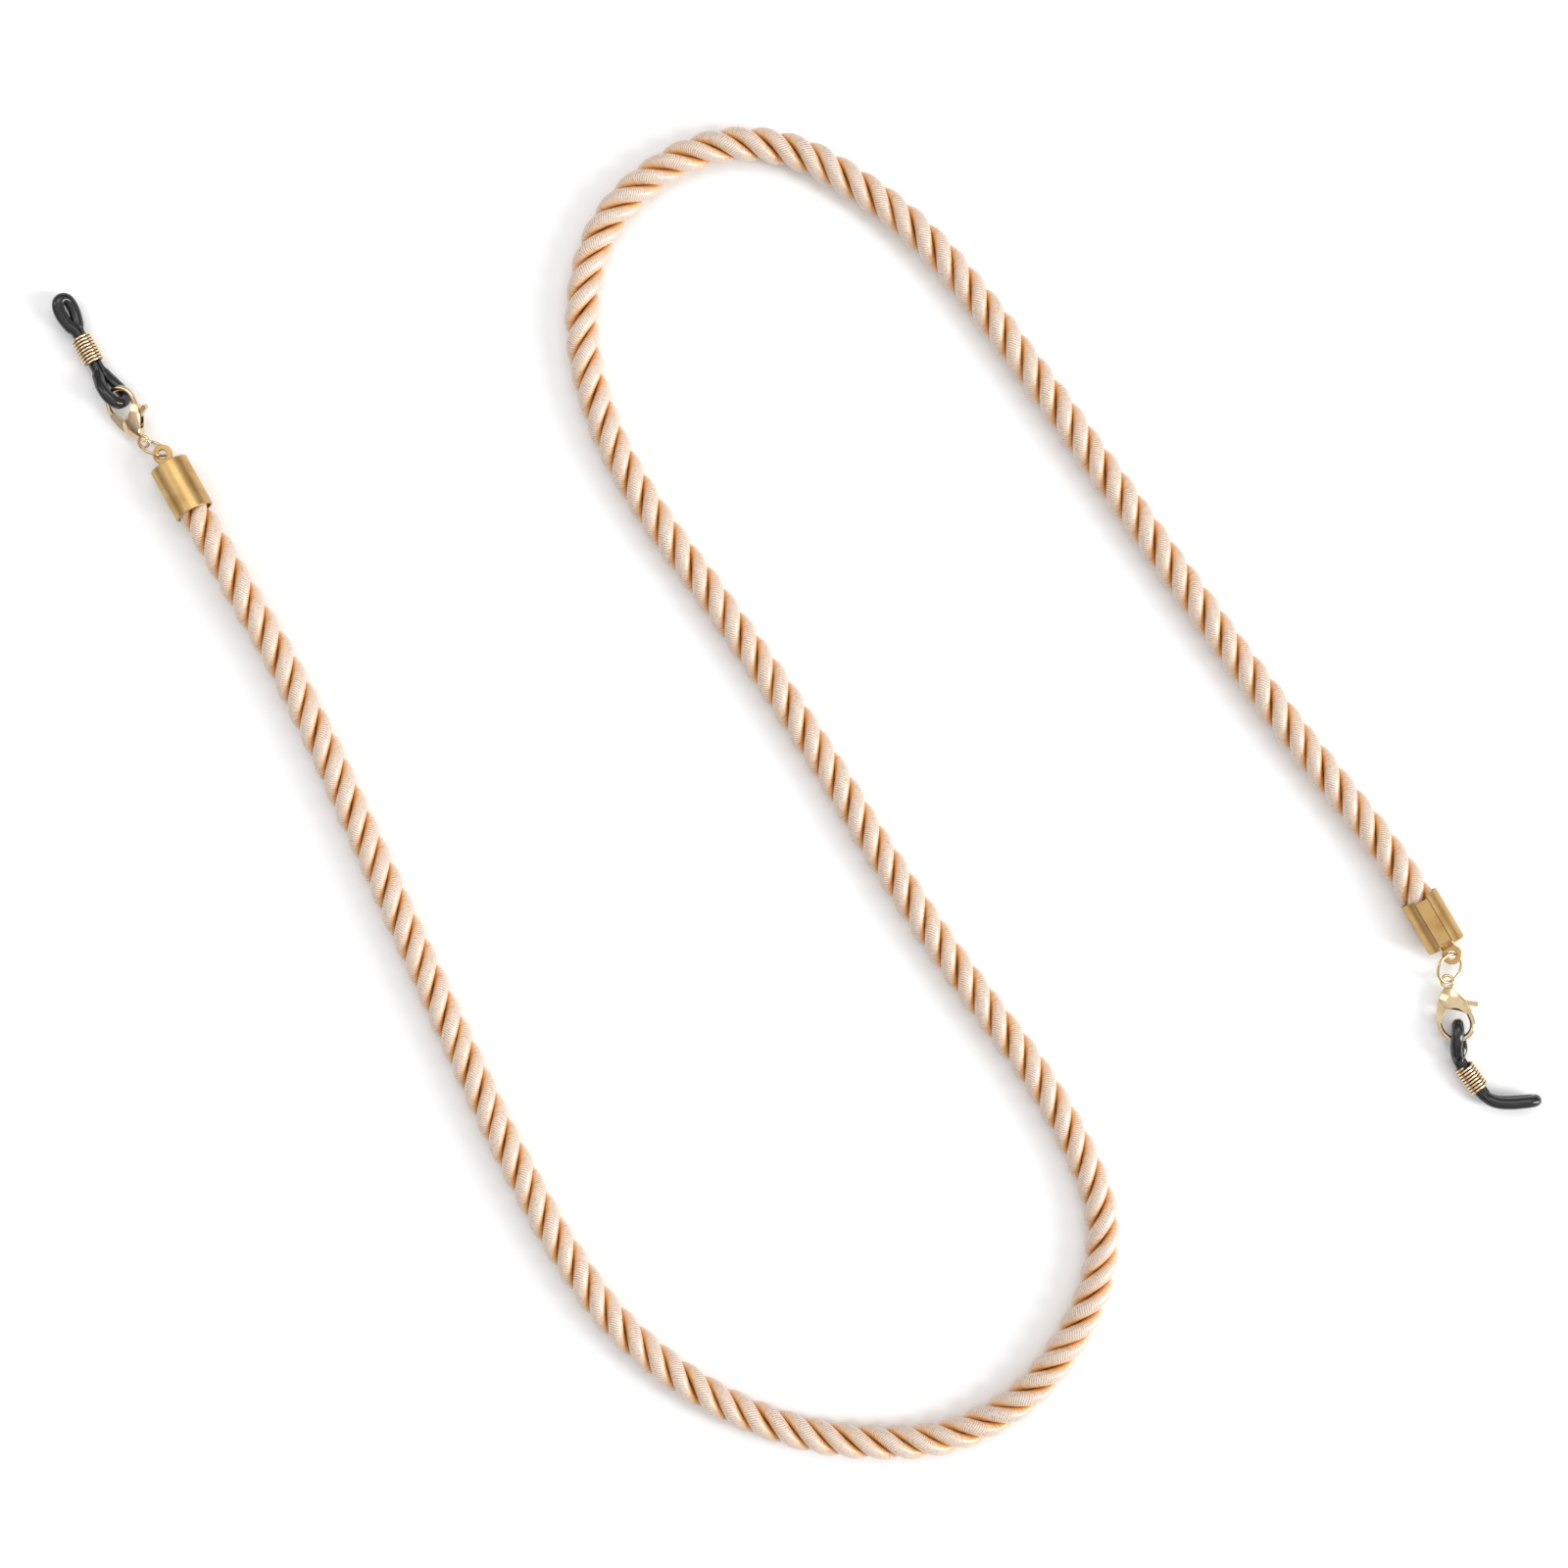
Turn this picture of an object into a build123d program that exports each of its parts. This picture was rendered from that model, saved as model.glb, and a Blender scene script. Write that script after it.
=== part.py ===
"""Eyeglasses neck cord: a twisted rope with a ferrule, ring, clasp and rubber grip at each end.

Millimetres, +Z up. The cord lies flat on z = 0. The origin is on that surface, midway between
the hardware of the two ends. Each piece is modelled in its own local frame, X pointing away
from the rope and Z through the piece's flat side, and is then placed by a plane.
"""

import os
from math import atan2, degrees, hypot, pi, radians, tan

from build123d import *

os.makedirs("parts", exist_ok=True)

# ---------------------------------------------------------------- driving dimensions
ROPE_D = 6.0

FERRULE_R = 3.6
FERRULE_WALL = 0.4
FERRULE_LENGTH = 10.0
FERRULE_RIM_ROUND = 0.12
SEAM_WIDTH = 2.7
ROPE_DEPTH = 7.0  # how far the rope's end sits inside the ferrule
GLUE_START = 0.6
GLUE_END = 8.3
GLUE_FLAT = 0.2  # the glue is level this far below the bore's top, just under the strap

STRAP_WIDTH = 2.4
STRAP_THICKNESS = 0.45
STRAP_SINK = 0.18  # how far the strap's underside lies below the bore's top
STRAP_START = 0.6
STRAP_BEND = 8.55  # where the strap turns down towards the eye
STRAP_SLOPE = 1.6  # length of the downward stretch
EYE_X = 12.0  # eye's centre, from the ferrule's mouth
EYE_DROP = 0.6  # how far the eye's mid-plane lies from the ferrule's axis
EYE_R = 1.8
EYE_HOLE_R = 0.8
EYE_THICKNESS = 0.6
EYE_HOLE_ROUND = 0.24
EYE_RIM_ROUND = 0.2

RING_R = 2.7  # middle of the wire
RING_WIRE_R = 0.275
RING_GAP_DEG = 2.5

TAIL_R = 1.06  # clasp's tail eye, middle of its section
TAIL_WIRE_R = 0.28
CLASP_THICKNESS = 2.6  # across the two cheeks
HOOK_R = 0.5
CHEEK_CORNER_R = 0.4
CHEEK_RIM_R = 0.8
DOME_R = 6.5  # each cheek's outer face is part of a sphere
DOME_CENTRE = (4.0, 1.1)
SLOT_WIDTH = 1.0
LEVER_THICKNESS = 0.8
PIVOT = (3.3, -0.3)
GATE_REACH = 4.42  # from the pivot to the gate's end
GATE_GAP = 0.08
GATE_JOINT = (7.2, -2.5)  # middle of the box in which the hook's nose is cut back for the gate
GATE_JOINT_SIZE = (1.6, 1.3)
KNOB_ROUND = 0.25
PIN_R = 0.35
PIN_CLEARANCE = 0.05
PIN_LENGTH = 2.1
HOOK_MIDDLE = (10.7, 0.6)  # middle of the hook's wire, where the rubber hangs

SPRING_R = 0.33
SPRING_WIRE_R = 0.08
SPRING_PITCH = 0.34
SPRING_LENGTH = 0.78
SPRING_START = (2.22, 1.05)

RUBBER_R = 1.1
RUBBER_CORE_R = 1.22  # both legs together, squeezed by the coil
LEG_OFFSET = 0.6  # each leg's middle from the coil's axis, beside the coil
LEG_TUCK = 0.3  # how far each leg's end reaches into the squeezed stretch
LEG_NECK = 0.7  # level stretch of each leg before the squeezed stretch
LEG_RISE = 1.8  # each leg's middle from the hook's middle
LEG_CLEAR = 0.7  # each leg runs level this far past the hook's middle
BEND_REACH = 2.7  # middle of the bend, from the hook's middle
BEND_FILL = 0.9  # share of the half gap between the legs that a bend's radius takes
NECK_BEND_R = 1.3
CLIMB_BEND_R = 2.5
TIP_BEND_R = 2.2
GRIP_BACK = 2.0  # middle of the grip's eye, back from its tip

COIL_R = 1.6  # middle of the wire
COIL_WIRE_R = 0.28
COIL_PITCH = 0.6
COIL_TURNS = 8.5
SLIDE_BEFORE = 1.5  # free straight rubber on the clasp's side of the coil
SLIDE_AFTER = 1.3  # and on the tip's side

# Rope route, from inside the left ferrule to inside the right one. Chosen by hand.
ROPE_ROUTE = [
    (-112.6, 40.2, 3.8),
    (-105.3, 27.2, 4.8),
    (-91, 3, 3),
    (-71, -42, 3),
    (-47, -94, 3),
    (-28.5, -120, 3),
    (3, -136, 3),
    (38.5, -133.5, 3),
    (59, -102, 3),
    (49, -74.5, 3),
    (24, -42.5, 3),
    (-4, 4, 3),
    (-39, 50.5, 3),
    (-39, 87.5, 3),
    (-10, 105.5, 3),
    (20, 89, 3),
    (40, 64, 3),
    (74, 16, 3),
    (92.5, -9, 3),
    (108.9, -28.9, 3.3),
    (116.4, -41.9, 3.95),
]


def pose(origin, heading, rise, roll):
    """A plane at origin: X heads that way in plan and rises, then the plane rolls about X."""
    forward = Vector(1, 0, 0).rotate(Axis.Y, -rise).rotate(Axis.Z, heading)
    up = Vector(0, 0, 1).rotate(Axis.X, roll).rotate(Axis.Y, -rise).rotate(Axis.Z, heading)
    return Plane(origin=origin, x_dir=forward, z_dir=up)


def pose_along(origin, direction, roll):
    """A plane at origin with X along a direction, rolled about X."""
    heading = degrees(atan2(direction.Y, direction.X))
    rise = degrees(atan2(direction.Z, hypot(direction.X, direction.Y)))
    return pose(origin, heading, rise, roll)


def write(node, frame, piece):
    """Place a piece by its plane, name it and write it."""
    with BuildPart(frame) as placed:
        add(piece)
    placed.part.label = node
    export_step(placed.part, f"parts/{node}.step")


# ---------------------------------------------------------------- pieces in local frames
def ferrule_shell():
    """Rolled cylinder, open along a seam at the top. X = 0 is the mouth."""
    with BuildPart() as shell:
        with BuildSketch(Plane.YZ):
            Circle(FERRULE_R)
            Circle(FERRULE_R - FERRULE_WALL, mode=Mode.SUBTRACT)
            with Locations((0, FERRULE_R)):
                Rectangle(SEAM_WIDTH, FERRULE_R, mode=Mode.SUBTRACT)
        extrude(amount=FERRULE_LENGTH)
        rims = shell.edges().filter_by(GeomType.CIRCLE)
        fillet(rims.filter_by(lambda rim: rim.radius > FERRULE_R - FERRULE_WALL / 2), FERRULE_RIM_ROUND)
    return shell.part


def ferrule_strap():
    """Strip that lies in the seam, bends down past the end and carries the eye."""
    low = FERRULE_R - FERRULE_WALL - STRAP_SINK
    high = low + STRAP_THICKNESS
    eye_low = -EYE_DROP - EYE_THICKNESS / 2
    eye_high = eye_low + EYE_THICKNESS
    neck_end = EYE_X - EYE_HOLE_R
    with BuildPart() as strap:
        with BuildSketch(Plane.XZ):
            with BuildLine():
                Polyline(
                    (STRAP_START, low),
                    (STRAP_BEND, low),
                    (STRAP_BEND + STRAP_SLOPE, eye_low),
                    (neck_end, eye_low),
                    (neck_end, eye_high),
                    (STRAP_BEND + STRAP_SLOPE + STRAP_THICKNESS, eye_high),
                    (STRAP_BEND + STRAP_THICKNESS, high),
                    (STRAP_START, high),
                    close=True,
                )
            make_face()
        extrude(amount=STRAP_WIDTH / 2, both=True)
        with BuildSketch(Plane.XY.offset(eye_low)):
            with Locations((EYE_X, 0)):
                Circle(EYE_R)
        extrude(amount=EYE_THICKNESS)
        with BuildSketch(Plane.XY.offset(eye_low)):
            with Locations((EYE_X, 0)):
                Circle(EYE_HOLE_R)
        extrude(amount=EYE_THICKNESS, mode=Mode.SUBTRACT)
        middle_r = (EYE_R + EYE_HOLE_R) / 2
        rims = strap.edges().filter_by(GeomType.CIRCLE)
        fillet(rims.filter_by(lambda rim: rim.radius < middle_r), EYE_HOLE_ROUND)
        rims = strap.edges().filter_by(GeomType.CIRCLE)
        fillet(rims.filter_by(lambda rim: rim.radius > middle_r), EYE_RIM_ROUND)
    return strap.part


def rope_glue():
    """Cured adhesive: a sleeve round the rope's end and a plug behind it."""
    bore = FERRULE_R - FERRULE_WALL
    with BuildPart() as glue:
        with BuildSketch(Plane.YZ.offset(GLUE_START)):
            Circle(bore)
        extrude(amount=GLUE_END - GLUE_START)
        with BuildSketch(Plane.YZ.offset(GLUE_START)):
            Circle(ROPE_D / 2)
        extrude(amount=ROPE_DEPTH - GLUE_START, mode=Mode.SUBTRACT)
        with BuildSketch(Plane.XY.offset(bore - GLUE_FLAT)):
            with Locations(((GLUE_START + GLUE_END) / 2, 0)):
                Rectangle(FERRULE_LENGTH, 2 * bore)
        extrude(amount=bore, mode=Mode.SUBTRACT)
    return glue.part


def jump_ring():
    """Split ring of round wire. X points at the clasp; the split is on the -Y side."""
    with BuildPart() as ring:
        with BuildSketch(Plane.XZ.rotated((0, 0, -90 + RING_GAP_DEG / 2))):
            with Locations((RING_R, 0)):
                Circle(RING_WIRE_R)
        revolve(axis=Axis.Z, revolution_arc=360 - RING_GAP_DEG)
    return ring.part


SPINE = [(0.8, 0.62), (1.5, 0.9), (2.6, 1.85), (3.7, 2.8), (5.4, 3.65)]
HOOK_LINE = [
    (5.3, 2.75),
    (6.5, 3.2),
    (7.9, 3.5),
    (9.1, 3.3),
    (10.1, 2.5),
    (10.65, 1.2),
    (10.6, -0.2),
    (9.95, -1.4),
    (9.0, -2.1),
    (8.2, -2.36),
    (7.45, -2.44),
    (6.85, -2.44),
]
CHEEK_LEFT = [(3.3, -2.0), (2.4, -1.6), (1.5, -0.95), (0.8, -0.62)]
CHEEK_FRONT = [(6.6, 3.35), (6.0, 2.2), (5.5, 1.2), (5.2, 0.0), (4.9, -1.0)]
SLOT_OUTLINE = [(2.1, -3.2), (6.2, -3.2), (6.2, -0.4), (4.95, 0.9), (4.95, 4.6), (2.1, 4.6)]
GATE_OUTER = [(2.6, -1.2), (3.3, -2.0), (4.3, -2.4), (6.1, -2.74), (6.91, -2.84)]
GATE_INNER = [(7.38, -1.98), (6.0, -1.5), (5.1, -0.95), (4.45, -0.1), (4.1, 0.9)]
KNOB = [(4.95, 3.9), (5.25, 4.75), (4.35, 5.0), (4.15, 4.1)]
LEVER_BACK = [(3.15, 0.9), (2.62, -0.2), (2.6, -1.2)]


def clasp_hook():
    """Round hook, from inside the body to the gate's joint."""
    with BuildPart() as hook:
        with BuildLine():
            path = Spline(*HOOK_LINE)
        with BuildSketch(Plane(origin=path @ 0, z_dir=path % 0)):
            Circle(HOOK_R)
        sweep(path=path)
    return hook.part


def clasp_cheek():
    """Upper half of the fuller body, with its rim rounded over and its outer face domed."""
    with BuildPart() as cheek:
        with BuildSketch() as outline:
            with BuildLine():
                Spline(*SPINE)
                Line(SPINE[-1], CHEEK_FRONT[0])
                Spline(*CHEEK_FRONT)
                Line(CHEEK_FRONT[-1], CHEEK_LEFT[0])
                Spline(*CHEEK_LEFT)
                Line(CHEEK_LEFT[-1], SPINE[0])
            make_face()
            fillet(outline.vertices(), CHEEK_CORNER_R)
        extrude(amount=CLASP_THICKNESS / 2)
        fillet(cheek.faces().sort_by(Axis.Z)[-1].edges(), CHEEK_RIM_R)
        with Locations((*DOME_CENTRE, CLASP_THICKNESS / 2 - DOME_R)):
            Sphere(DOME_R, mode=Mode.INTERSECT)
    return cheek.part


def clasp_body():
    """Casting: tail eye, two cheeks with the lever's slot between them, and the hook."""
    cheek = clasp_cheek()
    with BuildPart() as body:
        add(clasp_hook())
        add(cheek)
        mirror(cheek, about=Plane.XY)
        # tail eye, with the body cut back to its middle line
        with BuildSketch(Plane.XY.offset(-CLASP_THICKNESS / 2)):
            Circle(TAIL_R)
        extrude(amount=CLASP_THICKNESS, mode=Mode.SUBTRACT)
        with BuildSketch(Plane.XZ):
            with Locations((TAIL_R, 0)):
                Circle(TAIL_WIRE_R)
        revolve(axis=Axis.Z)
        # slot for the lever, open at the gate's side and at the spine
        with BuildSketch(Plane.XY.offset(-SLOT_WIDTH / 2)):
            with BuildLine():
                Polyline(*SLOT_OUTLINE, close=True)
            make_face()
        extrude(amount=SLOT_WIDTH, mode=Mode.SUBTRACT)
        # the hook's nose ends on the circle that the gate's end swings along
        with BuildSketch(Plane.XY.offset(-CLASP_THICKNESS / 2)):
            with Locations(PIVOT):
                Circle(GATE_REACH + GATE_GAP)
            with Locations(GATE_JOINT):
                Rectangle(*GATE_JOINT_SIZE, mode=Mode.INTERSECT)
        extrude(amount=CLASP_THICKNESS, mode=Mode.SUBTRACT)
        with BuildSketch(Plane.XY.offset(-CLASP_THICKNESS / 2)):
            with Locations(PIVOT):
                Circle(PIN_R)
        extrude(amount=CLASP_THICKNESS, mode=Mode.SUBTRACT)
    return body.part


def clasp_lever():
    """Gate arm and thumb knob in one lever, with the pin's hole between them."""
    with BuildPart() as lever:
        with BuildSketch(Plane.XY.offset(-LEVER_THICKNESS / 2)):
            with BuildLine():
                Spline(*GATE_OUTER)
                Line(GATE_OUTER[-1], GATE_INNER[0])
                Spline(*GATE_INNER)
                Polyline(GATE_INNER[-1], *KNOB, LEVER_BACK[0])
                Spline(*LEVER_BACK)
            make_face()
        extrude(amount=LEVER_THICKNESS)
        corners = lever.edges().filter_by(Axis.Z).sort_by(Axis.Y)
        fillet(corners[-2:], KNOB_ROUND)
        with BuildSketch(Plane.XY.offset(-LEVER_THICKNESS / 2)):
            with Locations(PIVOT):
                Circle(PIN_R + PIN_CLEARANCE)
        extrude(amount=LEVER_THICKNESS, mode=Mode.SUBTRACT)
    return lever.part


def clasp_pin():
    """Straight pin through both cheeks and the lever."""
    with BuildPart() as pin:
        with BuildSketch(Plane.XY.offset(-PIN_LENGTH / 2)):
            with Locations(PIVOT):
                Circle(PIN_R)
        extrude(amount=PIN_LENGTH)
    return pin.part


def clasp_spring():
    """Small compression spring between the slot's back wall and the lever."""
    with BuildPart() as spring:
        with BuildLine():
            path = Helix(
                pitch=SPRING_PITCH,
                height=SPRING_LENGTH,
                radius=SPRING_R,
                center=(*SPRING_START, 0),
                direction=(1, 0, 0),
            )
        with BuildSketch(Plane(origin=path @ 0, z_dir=path % 0)):
            Circle(SPRING_WIRE_R)
        sweep(path=path)
    return spring.part


def coil_slider():
    """Close-wound wire coil. X is its axis and the origin is its middle."""
    height = COIL_PITCH * COIL_TURNS
    with BuildPart() as coil:
        with BuildLine():
            path = Helix(
                pitch=COIL_PITCH,
                height=height,
                radius=COIL_R,
                center=(-height / 2, 0, 0),
                direction=(1, 0, 0),
            )
        with BuildSketch(Plane(origin=path @ 0, z_dir=path % 0)):
            Circle(COIL_WIRE_R)
        sweep(path=path)
    return coil.part


def swept_rubber(points, radii):
    """A stretch of the rubber band along straight runs joined by tangent arcs."""
    with BuildPart() as stretch:
        with BuildLine():
            path = FilletPolyline(*points, radius=radii)
        with BuildSketch(Plane(origin=path @ 0, z_dir=path % 0)):
            Circle(RUBBER_R)
        sweep(path=path)
    return stretch.part


def rubber_loop(core, hook, tip, tip_points):
    """Closed band: a bend round the hook, two legs squeezed by the coil, and the grip's eye.

    core is the coil's plane and hook the plane at the hook's middle. Both have X running to
    the tip and Z from the lower leg to the upper one. tip is the core's plane rolled to the
    eye's own tilt, and tip_points are the upper leg's points there; the lower leg mirrors them.
    """
    half = COIL_PITCH * COIL_TURNS / 2 + COIL_WIRE_R
    before = -half - SLIDE_BEFORE
    after = half + SLIDE_AFTER
    core_start = Plane(
        origin=core.from_local_coords(Vector(before, 0, 0)), x_dir=core.y_dir, z_dir=core.x_dir
    )
    turns = [TIP_BEND_R] * (len(tip_points) - 1)
    with BuildPart() as band:
        with BuildSketch(core_start):
            Circle(RUBBER_CORE_R)
        extrude(amount=after - before)
        for level in (1, -1):
            hook_side = [
                core.from_local_coords(Vector(before + LEG_TUCK, 0, level * LEG_OFFSET)),
                core.from_local_coords(Vector(before - LEG_NECK, 0, level * LEG_OFFSET)),
                hook.from_local_coords(Vector(LEG_CLEAR, 0, level * LEG_RISE)),
                hook.from_local_coords(Vector(-BEND_REACH, 0, level * LEG_RISE)),
                hook.from_local_coords(Vector(-BEND_REACH, 0, 0)),
            ]
            add(swept_rubber(hook_side, [NECK_BEND_R, CLIMB_BEND_R, BEND_FILL * LEG_RISE]))
            tip_side = [
                tip.from_local_coords(Vector(x, y, level * offset))
                for x, y, offset in [(after - LEG_TUCK, 0, LEG_OFFSET), *tip_points]
            ]
            tip_x, tip_y, spread = tip_points[-1]
            tip_side.append(tip.from_local_coords(Vector(tip_x, tip_y, 0)))
            add(swept_rubber(tip_side, [*turns, BEND_FILL * spread]))
    return band.part


# ---------------------------------------------------------------- where things lie
route = [Vector(*point) for point in ROPE_ROUTE]


def ferrule_end(last_point, point_before, roll):
    """A ferrule's plane at its mouth, in line with the rope's last run, and its eye's centre."""
    along = (last_point - point_before).normalized()
    plane = pose_along(last_point - along * ROPE_DEPTH, along, roll)
    return plane, plane.from_local_coords(Vector(EYE_X, 0, -EYE_DROP))


right_ferrule, right_eye = ferrule_end(route[-1], route[-2], 8)
left_ferrule, left_eye = ferrule_end(route[0], route[1], 180)

right_tail = Vector(118.4, -51.1, 2.4)
left_tail = Vector(-118.8, 47.1, 2.5)
right_ring = pose_along((right_eye + right_tail) * 0.5, right_tail - right_eye, -32)
left_ring = pose_along((left_eye + left_tail) * 0.5, left_tail - left_eye, 65)

right_clasp = pose(right_tail, -82.8, 2.0, 8)
left_clasp = pose(left_tail, 124.0, 2.0, 150)

right_hook_middle = right_clasp.from_local_coords(Vector(*HOOK_MIDDLE, 0))
left_hook_middle = left_clasp.from_local_coords(Vector(*HOOK_MIDDLE, 0))
right_hook = pose(right_hook_middle, -88, 0, 13)
left_hook = pose(left_hook_middle, 132, 0, -40)

right_core = pose((122.85, -68.65, 2.1), -54, 0.5, 13)
left_core = pose((-129.15, 63.85, 2.0), 118.9, 0.5, -40)
right_tip = pose((122.85, -68.65, 2.1), -54, 0.5, 5)
left_tip = pose((-129.15, 63.85, 2.0), 118.9, 0.5, -60)
right_tip_points = [(5.9, 0.2, 0.9), (10.1, 7.0, 1.25)]
left_tip_points = [(4.8, 0, LEG_OFFSET), (7.3, -0.2, 1.7), (10.0, -0.9, 1.7)]

ENDS = {
    "right": (right_ferrule, right_ring, right_clasp, right_core, right_hook, right_tip, right_tip_points),
    "left": (left_ferrule, left_ring, left_clasp, left_core, left_hook, left_tip, left_tip_points),
}

# ---------------------------------------------------------------- the rope
runs = [b - a for a, b in zip(route, route[1:])]
bend_radii = []
for run_in, run_out in zip(runs, runs[1:]):
    turn = radians(run_in.get_angle(run_out))
    bend_radii.append(0.45 * min(run_in.length, run_out.length) / tan(turn / 2))
print("rope bend radii, mm:", [round(radius) for radius in bend_radii])

with BuildPart() as rope:
    with BuildLine():
        rope_path = FilletPolyline(*route, radius=bend_radii)
    with BuildSketch(Plane(origin=rope_path @ 0, z_dir=rope_path % 0)):
        Circle(ROPE_D / 2)
    sweep(path=rope_path)
rope.part.label = "rope"
export_step(rope.part, "parts/rope.step")
section = pi * ROPE_D**2 / 4
print(f"rope length {rope_path.length:.1f} mm, volume over section x length", end=" ")
print(f"{rope.part.volume / (section * rope_path.length):.4f}")

# ---------------------------------------------------------------- both ends' hardware
for side, (ferrule, ring, clasp, core, hook, tip, tip_points) in ENDS.items():
    write(f"ferrule_shell_{side}", ferrule, ferrule_shell())
    write(f"ferrule_strap_{side}", ferrule, ferrule_strap())
    write(f"rope_glue_{side}", ferrule, rope_glue())
    write(f"jump_ring_{side}", ring, jump_ring())
    write(f"clasp_body_{side}", clasp, clasp_body())
    write(f"clasp_lever_{side}", clasp, clasp_lever())
    write(f"clasp_pin_{side}", clasp, clasp_pin())
    write(f"clasp_spring_{side}", clasp, clasp_spring())
    write(f"rubber_loop_{side}", Plane.XY, rubber_loop(core, hook, tip, tip_points))
    write(f"coil_slider_{side}", core, coil_slider())
    tip_x, tip_y, _ = tip_points[-1]
    axes = {
        "ring_swing": (ferrule.from_local_coords(Vector(EYE_X, 0, -EYE_DROP)), ferrule.z_dir),
        "clasp_swing": (clasp.origin, clasp.z_dir),
        "lever": (clasp.from_local_coords(Vector(*PIVOT, 0)), clasp.z_dir),
        "loop_swing": (hook.origin, Vector(0, 0, 1)),
        "coil_slide": (core.origin, core.x_dir),
        "grip": (tip.from_local_coords(Vector(tip_x - GRIP_BACK, tip_y, 0)), tip.y_dir),
    }
    for name, (origin, direction) in axes.items():
        place = [round(value / 1000, 6) for value in origin]
        heading = [round(value, 4) for value in direction]
        print(f"{name}_{side}: pos_m {place} axis {heading}")
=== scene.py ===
import math

import bpy
import numpy as np
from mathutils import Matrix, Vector


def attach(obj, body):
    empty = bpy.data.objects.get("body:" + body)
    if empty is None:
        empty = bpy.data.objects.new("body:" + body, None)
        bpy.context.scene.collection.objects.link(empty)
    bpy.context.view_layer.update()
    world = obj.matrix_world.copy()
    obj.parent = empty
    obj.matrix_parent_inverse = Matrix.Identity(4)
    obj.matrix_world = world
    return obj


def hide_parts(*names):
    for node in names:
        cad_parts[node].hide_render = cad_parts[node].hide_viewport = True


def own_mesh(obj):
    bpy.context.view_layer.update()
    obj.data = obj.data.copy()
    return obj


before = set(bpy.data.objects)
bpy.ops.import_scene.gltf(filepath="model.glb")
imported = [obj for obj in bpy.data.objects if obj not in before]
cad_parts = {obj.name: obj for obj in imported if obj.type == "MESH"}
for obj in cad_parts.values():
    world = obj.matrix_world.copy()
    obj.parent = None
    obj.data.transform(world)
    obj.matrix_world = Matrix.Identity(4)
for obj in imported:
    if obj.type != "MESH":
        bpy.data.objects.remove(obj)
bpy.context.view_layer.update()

# An eyeglasses neck cord, seen from above. The rope, the rubber bands and the clasp springs are
# made here, and the other pieces are the CAD solids with materials. Metres, unless said otherwise.
MM = 0.001

# ---------------------------------------------------------------- camera
VIEW_WIDTH = 0.2848
VIEW_CENTRE = (-0.0023, -0.0152)
VIEW_LEVEL = 3.5 * MM  # the view is that wide at this height
CAMERA_HEIGHT = 0.6
SENSOR = 36.0

camera_data = bpy.data.cameras.new("camera")
camera_data.sensor_width = SENSOR
camera_data.lens = SENSOR * (CAMERA_HEIGHT - VIEW_LEVEL) / VIEW_WIDTH
camera_data.clip_start = 0.01
camera = bpy.data.objects.new("camera", camera_data)
camera.location = (*VIEW_CENTRE, CAMERA_HEIGHT)
bpy.context.collection.objects.link(camera)
bpy.context.scene.camera = camera

# ---------------------------------------------------------------- the rope
ROPE_ROUTE = [
    (-112.6, 40.2, 3.8), (-105.3, 27.2, 4.8), (-91, 3, 3), (-71, -42, 3), (-47, -94, 3),
    (-28.5, -120, 3), (3, -136, 3), (38.5, -133.5, 3), (59, -102, 3), (49, -74.5, 3),
    (24, -42.5, 3), (-4, 4, 3), (-39, 50.5, 3), (-39, 87.5, 3), (-10, 105.5, 3),
    (20, 89, 3), (40, 64, 3), (74, 16, 3), (92.5, -9, 3), (108.9, -28.9, 3.3),
    (116.4, -41.9, 3.95),
]
PATH_STEP = 1 * MM  # between points of the line that the rope follows
FINE_STEP = 0.1 * MM  # between points of that line when the strands are laid along it
LAY = 15.4 * MM  # one turn of the rope
LAY_WANDER = 0.05  # small unevenness of the lay, in radians
LAY_WANDER_LENGTH = 23 * MM
STRANDS = 3
STRAND_OFFSET = 1.66 * MM  # each strand's middle from the rope's
STRAND_REACH = 1.5 * MM  # its half size away from the rope's middle
STRAND_HALF_WIDTH = 1.75 * MM  # its half size round the rope, before its neighbours flatten it
STRAND_GAP = 0.02 * MM  # from a strand to the plane between it and its neighbour
LEAST_HALF_WIDTH = 0.06 * MM  # at the rope's middle, before that gap
FLATTENING = 8  # how sharply a strand's outline turns into its flat sides
FULLNESS_CHANGE = 0.015  # small unevenness of the strands' size, as a share
FULLNESS_LENGTH = 9.1 * MM
FULLNESS_PHASE = 2.1  # from one strand to the next
PATTERN_SHIFT = 1000  # from one strand's thread pattern to the next, so that they differ
RIB_STEP = 0.27 * MM  # one wrap of thread, measured along the rope
RIB_RINGS = 2  # rings of points to each wrap
RIB_HEIGHT = 0.05 * MM
RIB_SLANT = 0.54  # how far a wrap runs along the rope for each step round it
RIB_MARGIN = 2.6 * MM  # the strands stop this far short of the rope's ends
OUTER_ANGLES = range(-108, 109, 18)  # a strand's outline points, closer together where it shows
INNER_ANGLES = (135, 180, 225)
REST_FLAT = 0.3 * MM  # height up to which the strands are flattened by resting on the floor
NECK_START = 5 * MM  # inside each ferrule the rope is narrower up to here
NECK_LENGTH = 6 * MM  # and widens to its full size over this length
NECK_SHARE = 0.93  # its size there, as a share


def link(obj):
    bpy.context.collection.objects.link(obj)
    return obj


def spline_points(points):
    """Points read from the smooth line that has these control points."""
    curve = bpy.data.curves.new("line", "CURVE")
    curve.dimensions = "3D"
    curve.resolution_u = 64
    spline = curve.splines.new("NURBS")
    spline.points.add(len(points) - 1)
    for place, point in zip(spline.points, points):
        place.co = (point[0] * MM, point[1] * MM, point[2] * MM, 1)
    spline.order_u = 3
    spline.use_endpoint_u = True
    return read_line(curve)


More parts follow.
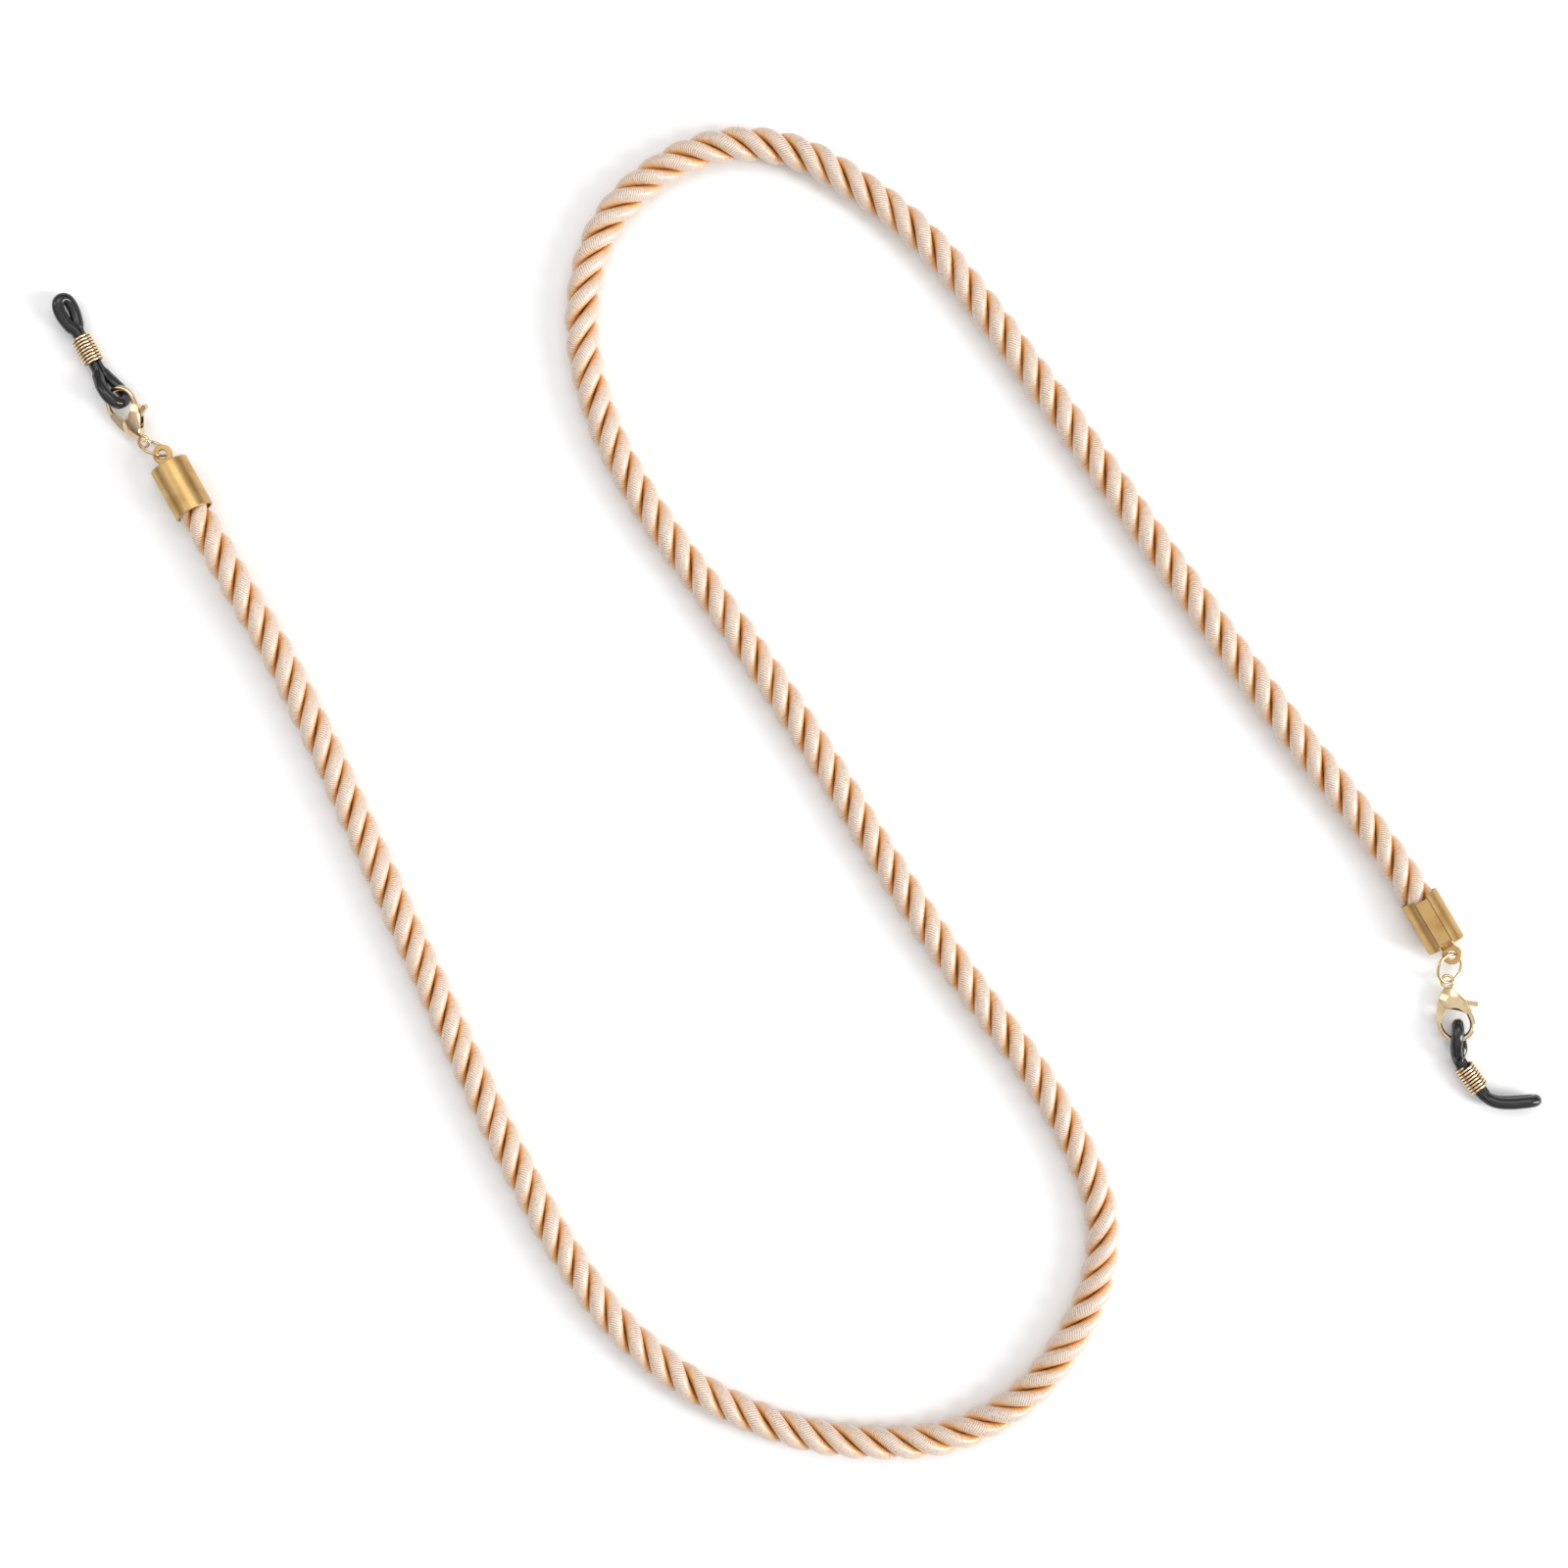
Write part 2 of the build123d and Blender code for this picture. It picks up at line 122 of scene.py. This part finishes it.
def read_line(curve):
    """The points of a curve's line. The curve itself is removed."""
    carrier = bpy.data.objects.new("line", curve)
    mesh = bpy.data.meshes.new_from_object(carrier)
    line = np.array([vertex.co for vertex in mesh.vertices], float)
    bpy.data.meshes.remove(mesh)
    bpy.data.curves.remove(curve)
    return line


def distances(line):
    """Each point's distance along the line."""
    return np.concatenate([[0], np.cumsum(np.linalg.norm(np.diff(line, axis=0), axis=1))])


def at(values, along, places):
    """Rows of values, given at distances along a line, read at other distances."""
    return np.stack([np.interp(places, along, values[:, k]) for k in range(values.shape[1])], axis=-1)


def spaced(line, step):
    """The same line with points about that far apart, and each point's distance along it."""
    along = distances(line)
    places = np.linspace(0, along[-1], max(2, math.ceil(along[-1] / step) + 1))
    return at(line, along, places), places


def unit(vectors):
    return vectors / np.linalg.norm(vectors, axis=-1, keepdims=True)


def eased(share):
    """0 up to 0, 1 from 1 on, and a smooth change between."""
    share = np.clip(share, 0, 1)
    return share * share * (3 - 2 * share)


def tube_faces(rings, ring_points, first=0, closed=False):
    """Quads between rings of points, and a cap at each end of an open tube."""
    last = rings if closed else rings - 1
    i, j = np.meshgrid(np.arange(last), np.arange(ring_points), indexing="ij")
    before, after = i * ring_points, (i + 1) % rings * ring_points
    across = (j + 1) % ring_points
    corners = [before + j, before + across, after + across, after + j]
    faces = (np.stack(corners, axis=-1).reshape(-1, 4) + first).tolist()
    if not closed:
        faces.append([first + k for k in reversed(range(ring_points))])
        faces.append([first + (rings - 1) * ring_points + k for k in range(ring_points)])
    return faces


def smooth_mesh(name, vertices, faces, attributes=None):
    """A smooth-shaded mesh object, with named values at its points for the materials."""
    mesh = bpy.data.meshes.new(name)
    mesh.from_pydata(np.asarray(vertices).tolist(), [], faces)
    for key, values in (attributes or {}).items():
        layer = mesh.attributes.new(key, "FLOAT", "POINT")
        layer.data.foreach_set("value", np.asarray(values, np.float32))
    mesh.shade_smooth()
    return link(bpy.data.objects.new(name, mesh))


def strand_section():
    """One strand's outline across the rope: its angles, and offsets outwards and round the rope.

    A rounded oval, flattened where it meets the strands beside it.
    """
    angles = np.radians([*OUTER_ANGLES, *INNER_ANGLES])
    out = STRAND_REACH * np.cos(angles)
    across = STRAND_HALF_WIDTH * np.sin(angles)
    wall = np.maximum((STRAND_OFFSET + out) * math.tan(math.pi / STRANDS), LEAST_HALF_WIDTH) - STRAND_GAP
    squeezed = across / (1 + (np.abs(across) / wall) ** FLATTENING) ** (1 / FLATTENING)
    return angles, out, squeezed


def twisted_rope(line):
    """All the strands in one mesh, laid right-handed along the line, with their thread wraps."""
    fine, along = spaced(line, FINE_STEP)
    tangent = unit(np.gradient(fine, axis=0))
    side = unit(np.cross((0, 0, 1), tangent))
    up = np.cross(tangent, side)
    angles, out, across = strand_section()
    total = along[-1]
    rings = int((total - 2 * RIB_MARGIN) / RIB_STEP * RIB_RINGS)
    middles = RIB_MARGIN + np.arange(rings) * RIB_STEP / RIB_RINGS
    places = middles[:, None] - RIB_SLANT * across[None, :]
    from_end = np.minimum(places, total - places)
    share = NECK_SHARE + (1 - NECK_SHARE) * eased((from_end - NECK_START) / NECK_LENGTH)
    rib = RIB_HEIGHT * (0.5 - 0.5 * np.cos(2 * math.pi * middles / RIB_STEP))[:, None]
    vertices, faces = [], []
    attributes = {"around": [], "wraps": [], "depth": [], "run": []}
    for strand in range(STRANDS):
        turn = 2 * math.pi * (places / LAY + strand / STRANDS)
        turn = turn + LAY_WANDER * np.sin(places / LAY_WANDER_LENGTH + strand)
        unevenness = np.sin(places / FULLNESS_LENGTH + FULLNESS_PHASE * strand)
        full = share * (1 + FULLNESS_CHANGE * unevenness)
        middle = at(fine, along, places)
        sideways, upward = at(side, along, places), at(up, along, places)
        outward = np.cos(turn)[..., None] * sideways + np.sin(turn)[..., None] * upward
        onward = np.cos(turn)[..., None] * upward - np.sin(turn)[..., None] * sideways
        radial = (STRAND_OFFSET + out * (1 - rib / STRAND_REACH)) * full
        lateral = across * (1 - rib / STRAND_HALF_WIDTH) * full
        points = middle + radial[..., None] * outward + lateral[..., None] * onward
        faces += tube_faces(rings, len(angles), strand * rings * len(angles))
        # a strand flattens where it rests instead of reaching under the floor
        low = np.minimum(points[..., 2], REST_FLAT)
        points[..., 2] = np.maximum(points[..., 2], REST_FLAT * np.exp(low / REST_FLAT - 1))
        vertices.append(points.reshape(-1, 3))
        attributes["around"].append(np.broadcast_to(np.sin(angles), radial.shape).ravel())
        attributes["wraps"].append(np.repeat(middles / RIB_STEP, len(angles)))
        attributes["depth"].append((np.hypot(radial, lateral) / (STRAND_OFFSET + STRAND_REACH)).ravel())
        attributes["run"].append((places / MM + PATTERN_SHIFT * strand).ravel())
    joined = {key: np.concatenate(values) for key, values in attributes.items()}
    return smooth_mesh("rope_strands", np.concatenate(vertices), faces, joined)


rope_line, _ = spaced(spline_points(ROPE_ROUTE), PATH_STEP)
rope = twisted_rope(rope_line)
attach(rope, "rope_and_ferrules")
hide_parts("rope")

# ---------------------------------------------------------------- the rubber bands
# sizes and points in this section and the next are in millimetres
RUBBER_R = 1.1
SQUEEZED_TOWARDS = 0.59  # half size of each leg in the coil, towards the other leg
SQUEEZED_ACROSS = 1.0  # its half size the other way
SQUEEZE_START = -3.95  # the squeezed stretch, from the coil's middle
SQUEEZE_END = 3.7
SQUEEZE_EASE = 1.4  # the leg is round again this far outside it
BAND_STEP = 0.2
BAND_POINTS = 24
HOOK_MIDDLE = (10.7, 0.6, 0)  # in a clasp's frame
BAND_BEND = (-2.7, 0, 0)  # where a band goes round the hook, in the hook's frame


def turned(vector, axis, degrees):
    """The vector turned about X, Y or Z by the right-hand rule."""
    a, b = {"X": (1, 2), "Y": (2, 0), "Z": (0, 1)}[axis]
    c, s = math.cos(math.radians(degrees)), math.sin(math.radians(degrees))
    out = np.array(vector, float)
    out[a], out[b] = c * vector[a] - s * vector[b], s * vector[a] + c * vector[b]
    return out


def pose(origin, heading, rise, roll):
    """An origin and the axes of a frame whose X heads that way and rises, rolled about X."""
    forward = turned(turned((1, 0, 0), "Y", -rise), "Z", heading)
    up = turned(turned(turned((0, 0, 1), "X", roll), "Y", -rise), "Z", heading)
    return np.array(origin, float), np.stack([forward, np.cross(up, forward), up])


def placed(frame_at, points):
    """Points given in a frame, in the object's own axes."""
    origin, axes = frame_at
    return origin + np.array(points, float) @ axes


def closed_curve(points):
    """A smooth closed line through the points."""
    curve = bpy.data.curves.new("loop", "CURVE")
    curve.dimensions = "3D"
    curve.resolution_u = 24
    spline = curve.splines.new("BEZIER")
    spline.bezier_points.add(len(points) - 1)
    for place, point in zip(spline.bezier_points, points):
        place.co = point
        place.handle_left_type = place.handle_right_type = "AUTO"
    spline.use_cyclic_u = True
    return read_line(curve)


def band(name, hook, hook_points, core, core_points, tip, tip_points):
    """A closed rubber band: round the hook, through the coil as two pressed legs, and the eye.

    Each list gives the leg on the +Z side, in that part's own frame. The other leg has the
    opposite Z and, in the hook, the opposite Y. A hook point's fourth number lowers both legs.
    The last point of the tip is where the legs meet.
    """
    def legs(level):
        return [
            *placed(hook, [(x, level * y, level * z - drop) for x, y, z, drop in hook_points]),
            *placed(core, [(x, y, level * z) for x, y, z in core_points]),
            *placed(tip, [(x, y, level * z) for x, y, z in tip_points[:-1]]),
        ]
    points = [placed(hook, BAND_BEND), *legs(1), placed(tip, tip_points[-1]), *reversed(legs(-1))]
    loop = closed_curve(points)
    loop = np.concatenate([loop, loop[:1]])
    line = spaced(loop, BAND_STEP)[0][:-1]
    tangent = unit(np.roll(line, -1, axis=0) - np.roll(line, 1, axis=0))
    origin, axes = core
    across = unit(axes[1] - (tangent @ axes[1])[:, None] * tangent)
    towards = np.cross(tangent, across)
    from_middle = (line - origin) @ axes[0]
    outside = np.maximum(SQUEEZE_START - from_middle, from_middle - SQUEEZE_END)
    free = eased(outside / SQUEEZE_EASE)[:, None]
    half_across = SQUEEZED_ACROSS + (RUBBER_R - SQUEEZED_ACROSS) * free
    half_towards = SQUEEZED_TOWARDS + (RUBBER_R - SQUEEZED_TOWARDS) * free
    angles = np.linspace(0, 2 * math.pi, BAND_POINTS, endpoint=False)[None, :]
    ring = (
        line[:, None, :]
        + (half_across * np.cos(angles))[..., None] * across[:, None, :]
        + (half_towards * np.sin(angles))[..., None] * towards[:, None, :]
    )
    faces = tube_faces(len(line), BAND_POINTS, closed=True)
    return smooth_mesh(name, ring.reshape(-1, 3) * MM, faces)


def clasp_hook(clasp, heading, roll):
    """The frame at the middle of a clasp's hook."""
    return pose(placed(clasp, HOOK_MIDDLE), heading, 0, roll)


# each clasp's frame: origin, heading, rise and roll
CLASPS = {
    "right": pose((118.4, -51.1, 2.4), -82.8, 2.0, 8),
    "left": pose((-118.8, 47.1, 2.5), 124.0, 2.0, 150),
}
# each coil's middle, heading and rise
RIGHT_CORE = ((122.85, -68.65, 2.1), -54, 0.5)
LEFT_CORE = ((-129.15, 63.85, 2.0), 118.9, 0.5)
bands = {
    "right": band(
        "rubber_band_right",
        clasp_hook(CLASPS["right"], -88, 13),
        [(-2.3, 0, 1.25, 0), (-1.2, 0, 1.74, 0), (0.6, -0.3, 1.66, 0.03), (2.0, -0.42, 1.22, 0.36)],
        pose(*RIGHT_CORE, 28),
        [(-4.1, 0.17, 0.66), (-3.4, 0.02, 0.6), (-2.4, 0, 0.6), (0, 0, 0.6), (2.4, 0, 0.6), (3.6, 0, 0.6)],
        pose(*RIGHT_CORE, 5),
        [
            (4.8, 0.2, 0.72), (6.1, 1.0, 1.0), (7.5, 2.6, 1.12), (9.0, 5.0, 1.12),
            (9.75, 6.35, 0.85), (10.05, 6.95, 0),
        ],
    ),
    "left": band(
        "rubber_band_left",
        clasp_hook(CLASPS["left"], 132, -40),
        [(-2.3, 0, 1.25, 0), (-1.2, 0, 1.74, 0), (0.7, 0, 1.68, 0)],
        pose(*LEFT_CORE, -40),
        [(-5.0, 0, 0.8), (-4.0, 0, 0.6), (0, 0, 0.6), (3.9, 0, 0.6)],
        pose(*LEFT_CORE, -60),
        [
            (5.0, 0, 0.78), (6.2, -0.1, 1.1), (7.5, -0.25, 1.32), (8.8, -0.5, 1.28),
            (9.8, -0.8, 0.85), (10.15, -0.9, 0),
        ],
    ),
}
for side, piece in bands.items():
    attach(piece, f"rubber_{side}")
    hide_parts(f"rubber_loop_{side}")

# ---------------------------------------------------------------- the clasp springs
springs = {}
for side, clasp in CLASPS.items():
    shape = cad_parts[f"clasp_spring_{side}"].data.copy()
    springs[side] = link(bpy.data.objects.new(f"lever_spring_{side}", shape))
    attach(springs[side], f"clasp_{side}")
    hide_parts(f"clasp_spring_{side}")
    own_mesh(springs[side])


# ---------------------------------------------------------------- materials
class Shader:
    """A principled material with short calls for its nodes."""

    def __init__(self, name, **inputs):
        self.material = bpy.data.materials.new(name)
        self.material.use_nodes = True
        self.tree = self.material.node_tree
        self.shader = self.tree.nodes["Principled BSDF"]
        for key, value in inputs.items():
            self.shader.inputs[key.replace("_", " ")].default_value = value

    @classmethod
    def of(cls, material):
        """The same calls for a material that is already there."""
        made = cls.__new__(cls)
        made.material, made.tree = material, material.node_tree
        made.shader = made.tree.nodes["Principled BSDF"]
        return made

    def feed(self, socket, value):
        """Link a socket to another node's output, or give it a constant."""
        if isinstance(value, bpy.types.NodeSocket):
            self.tree.links.new(value, socket)
        else:
            socket.default_value = value

    def node(self, kind, _settings=None, **inputs):
        """A new node. An input is named by its socket, with _ for a space, or as i0, i1 by number."""
        made = self.tree.nodes.new(kind)
        for key, value in (_settings or {}).items():
            setattr(made, key, value)
        for key, value in inputs.items():
            by_number = key[0] == "i" and key[1:].isdigit()
            self.feed(made.inputs[int(key[1:]) if by_number else key.replace("_", " ")], value)
        return made

    def to(self, key, socket):
        self.tree.links.new(socket, self.shader.inputs[key])

    def value(self, operation, a, b=0.0, clamp=False):
        settings = {"operation": operation, "use_clamp": clamp}
        return self.node("ShaderNodeMath", settings, i0=a, i1=b).outputs[0]

    def attribute(self, name):
        return self.node("ShaderNodeAttribute", {"attribute_name": name}).outputs["Fac"]

    def ramp(self, factor, stops):
        made = self.node("ShaderNodeValToRGB", Fac=factor)
        elements = made.color_ramp.elements
        while len(elements) < len(stops):
            elements.new(0.5)
        for element, (place, colour) in zip(elements, stops):
            element.position = place
            element.color = (*colour, 1)
        return made.outputs["Color"]

    def mix(self, factor, a, b, blend="MIX"):
        made = self.node("ShaderNodeMix", {"data_type": "RGBA", "blend_type": blend})
        # the mix node has sockets for each data type: these are the colour ones
        for index, value in ((0, factor), (6, a), (7, b)):
            self.feed(made.inputs[index], (*value, 1) if isinstance(value, tuple) else value)
        return made.outputs[2]

    def noise(self, scale, detail, roughness=0.5):
        place = self.node("ShaderNodeTexCoord").outputs["Object"]
        made = self.node("ShaderNodeTexNoise", Vector=place, Scale=scale, Detail=detail, Roughness=roughness)
        return made.outputs["Fac"]

    def bump(self, height, strength, distance):
        made = self.node("ShaderNodeBump", Height=height, Strength=strength, Distance=distance)
        return made.outputs["Normal"]


def grey(value):
    return (value, value, value)


def rope_material():
    s = Shader(
        "rope_thread", Sheen_Weight=0.35, Sheen_Roughness=0.3, Sheen_Tint=(1.0, 0.95, 0.86, 1),
        Coat_Weight=0.35, Coat_Roughness=0.28, Coat_IOR=1.6, Specular_IOR_Level=0.8)
    depth, wraps = s.attribute("depth"), s.attribute("wraps")
    run, around = s.attribute("run"), s.attribute("around")
    wave = s.value("COSINE", s.value("MULTIPLY", wraps, 2 * math.pi))
    wave = s.value("ADD", s.value("MULTIPLY", wave, 0.5), 0.5)
    # fine threads inside each wrap, and wraps of uneven brightness
    across, along = s.value("MULTIPLY", around, 2.0), s.value("MULTIPLY", run, 0.002)
    place = s.node("ShaderNodeCombineXYZ", X=wraps, Y=across, Z=along).outputs[0]
    threads = s.node("ShaderNodeTexNoise", Vector=place, Scale=1.3, Detail=4.0, Roughness=0.65).outputs[0]
    # the thread's own colour on the strands' crowns; towards the grooves between strands it turns to painted
    # orange bounce light and then painted shade
    base = s.ramp(depth, [
        (0.45, (0.62, 0.24, 0.035)),
        (0.60, (0.80, 0.34, 0.06)),
        (0.73, (0.90, 0.50, 0.19)),
        (0.84, (0.87, 0.63, 0.45)),
        (1.00, (0.80, 0.66, 0.555)),
    ])
    # painted shade in the hollows between the thread wraps, none on their crests
    shade = s.ramp(wave, [(0.0, (0.50, 0.43, 0.38)), (0.4, (0.93, 0.91, 0.89)), (1.0, (1.0, 1.0, 1.0))])
    colour = s.mix(0.85, base, shade, "MULTIPLY")
    streak = s.ramp(threads, [(0.32, (0.72, 0.66, 0.63)), (0.52, (1.0, 1.0, 1.0)), (0.72, (1.0, 0.99, 0.93))])
    s.to("Base Color", s.mix(0.9, colour, streak, "MULTIPLY"))
    s.to("Roughness", s.ramp(threads, [(0.3, grey(0.24)), (0.7, grey(0.40))]))
    height = s.value("ADD", wave, s.value("MULTIPLY", threads, 0.8))
    s.to("Normal", s.bump(height, 0.6, 0.05 * MM))
    return s.material


def metal(name, base, roughness, grain, darker, dents=0.15):
    """Plated metal: cloudy tone, worn darker patches, fine marks in its gloss and surface."""
    s = Shader(name, Metallic=1.0)
    cloud = s.noise(260, 4)
    marks = s.noise(2600, 5, 0.65)
    tone = s.ramp(cloud, [(0.3, darker), (0.55, base), (0.8, tuple(min(1, c * 1.05) for c in base))])
    s.to("Base Color", s.mix(s.value("MULTIPLY", marks, 0.25), tone, darker))
    low, high = roughness - grain, roughness + grain
    s.to("Roughness", s.ramp(marks, [(0.3, grey(low)), (0.7, grey(high))]))
    s.to("Normal", s.bump(s.value("ADD", marks, s.value("MULTIPLY", cloud, 2.0)), dents, 0.02 * MM))
    return s.material


def rubber_material():
    s = Shader("black_rubber", Specular_IOR_Level=0.55)
    cloud = s.noise(420, 3)
    specks = s.noise(5200, 4, 0.7)
    s.to("Base Color", s.ramp(specks, [
        (0.35, (0.010, 0.0095, 0.0095)),
        (0.72, (0.016, 0.015, 0.015)),
        (0.85, (0.06, 0.055, 0.05)),
    ]))
    s.to("Roughness", s.ramp(cloud, [(0.3, grey(0.13)), (0.7, grey(0.22))]))
    s.to("Normal", s.bump(s.value("ADD", specks, cloud), 0.12, 0.02 * MM))
    return s.material


def adhesive_material():
    s = Shader("cured_adhesive", Roughness=0.25)
    s.to("Base Color", s.ramp(s.noise(700, 3), [(0.3, (0.42, 0.30, 0.16)), (0.7, (0.66, 0.55, 0.38))]))
    s.to("Normal", s.bump(s.noise(900, 4), 0.3, 0.05 * MM))
    return s.material


COIL_GROOVE = 1.55 * MM  # from the coil's axis to the bottom of the groove between turns, where the painted shade is darkest
COIL_RISE = 0.33 * MM  # from there to the outside of the wire


def coil_material(name, core):
    """The coil's wire: gold, with painted shade where it goes down between the turns."""
    material = metal(name, (0.97, 0.80, 0.54), 0.18, 0.05, (0.82, 0.62, 0.36))
    s = Shader.of(material)
    origin, axes = core
    place = s.node("ShaderNodeTexCoord").outputs["Object"]
    kind = "ShaderNodeVectorMath"
    arm = s.node(kind, {"operation": "SUBTRACT"}, i0=place, i1=tuple(origin * MM)).outputs[0]
    arm = s.node(kind, {"operation": "CROSS_PRODUCT"}, i0=arm, i1=tuple(axes[0])).outputs[0]
    reach = s.node(kind, {"operation": "LENGTH"}, i0=arm).outputs["Value"]
    height = s.value("DIVIDE", s.value("SUBTRACT", reach, COIL_GROOVE), COIL_RISE, clamp=True)
    # painted shade: darkest down between the turns, none on the outside of the wire
    shade = s.ramp(height, [(0.40, (0.10, 0.045, 0.015)), (0.80, (0.52, 0.37, 0.22)), (0.97, (1, 1, 1))])
    plain = s.shader.inputs["Base Color"].links[0].from_socket
    s.to("Base Color", s.mix(1.0, plain, shade, "MULTIPLY"))
    return material


FERRULE = metal("ferrule_brass", (0.62, 0.40, 0.165), 0.36, 0.06, (0.50, 0.29, 0.10))
RING = metal("ring_gold", (0.74, 0.57, 0.35), 0.18, 0.04, (0.58, 0.40, 0.21))
CLASP = metal("clasp_gold", (0.80, 0.64, 0.40), 0.15, 0.04, (0.64, 0.45, 0.26), dents=0.1)
STEEL = metal("spring_steel", (0.58, 0.57, 0.55), 0.28, 0.06, (0.40, 0.39, 0.38))
NODE_MATERIALS = {
    "ferrule_shell": FERRULE, "ferrule_strap": FERRULE, "rope_glue": adhesive_material(),
    "jump_ring": RING, "clasp_body": CLASP, "clasp_lever": CLASP, "clasp_pin": CLASP,
}
COIL_CORES = {"right": pose(*RIGHT_CORE, 13), "left": pose(*LEFT_CORE, -40)}
for side in ("right", "left"):
    coil = coil_material(f"coil_gold_{side}", COIL_CORES[side])
    for kind, material in {**NODE_MATERIALS, "coil_slider": coil}.items():
        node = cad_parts[f"{kind}_{side}"]
        node.data.materials.clear()
        node.data.materials.append(material)
for spring in springs.values():
    spring.data.materials.clear()
    spring.data.materials.append(STEEL)
BLACK = rubber_material()
for piece in bands.values():
    piece.data.materials.append(BLACK)
rope.data.materials.append(rope_material())

# ---------------------------------------------------------------- floor and light
floor_material = Shader("pale_floor", Roughness=0.9)
floor_material.to("Base Color", floor_material.ramp(
    floor_material.noise(30, 2), [(0.3, grey(0.94)), (0.7, grey(0.96))]))
FLOOR_HALF = 4.0
floor_corners = [(x * FLOOR_HALF, y * FLOOR_HALF, 0) for x, y in ((-1, -1), (1, -1), (1, 1), (-1, 1))]
floor = smooth_mesh("floor", floor_corners, [[0, 1, 2, 3]])
floor.data.materials.append(floor_material.material)


def area_light(name, place, size, power):
    """A rectangular lamp that points at the origin."""
    data = bpy.data.lights.new(name, "AREA")
    data.shape = "RECTANGLE"
    data.size, data.size_y = size
    data.energy = power
    lamp = link(bpy.data.objects.new(name, data))
    lamp.location = place
    lamp.rotation_euler = (-Vector(place)).to_track_quat("-Z", "Y").to_euler()


area_light("key_right", (1.9, -0.45, 0.55), (0.5, 2.4), 52)
area_light("key_left", (-1.5, 0.5, 1.2), (0.6, 1.4), 4)
area_light("top", (0.1, 0.7, 1.3), (1.2, 0.6), 4)

# the studio: bright overhead, darker towards the horizon
world = bpy.data.worlds.new("studio")
world.use_nodes = True
studio = world.node_tree
direction = studio.nodes.new("ShaderNodeTexCoord")
height = studio.nodes.new("ShaderNodeSeparateXYZ")
tone = studio.nodes.new("ShaderNodeValToRGB")
for element, (place, value) in zip(tone.color_ramp.elements, ((0.05, 0.16), (0.85, 0.92))):
    element.position = place
    element.color = (*grey(value), 1)
studio.links.new(direction.outputs["Generated"], height.inputs[0])
studio.links.new(height.outputs["Z"], tone.inputs["Fac"])
studio.links.new(tone.outputs["Color"], studio.nodes["Background"].inputs["Color"])
studio.nodes["Background"].inputs["Strength"].default_value = 1.0
bpy.context.scene.world = world
bpy.context.scene.view_settings.view_transform = "Standard"
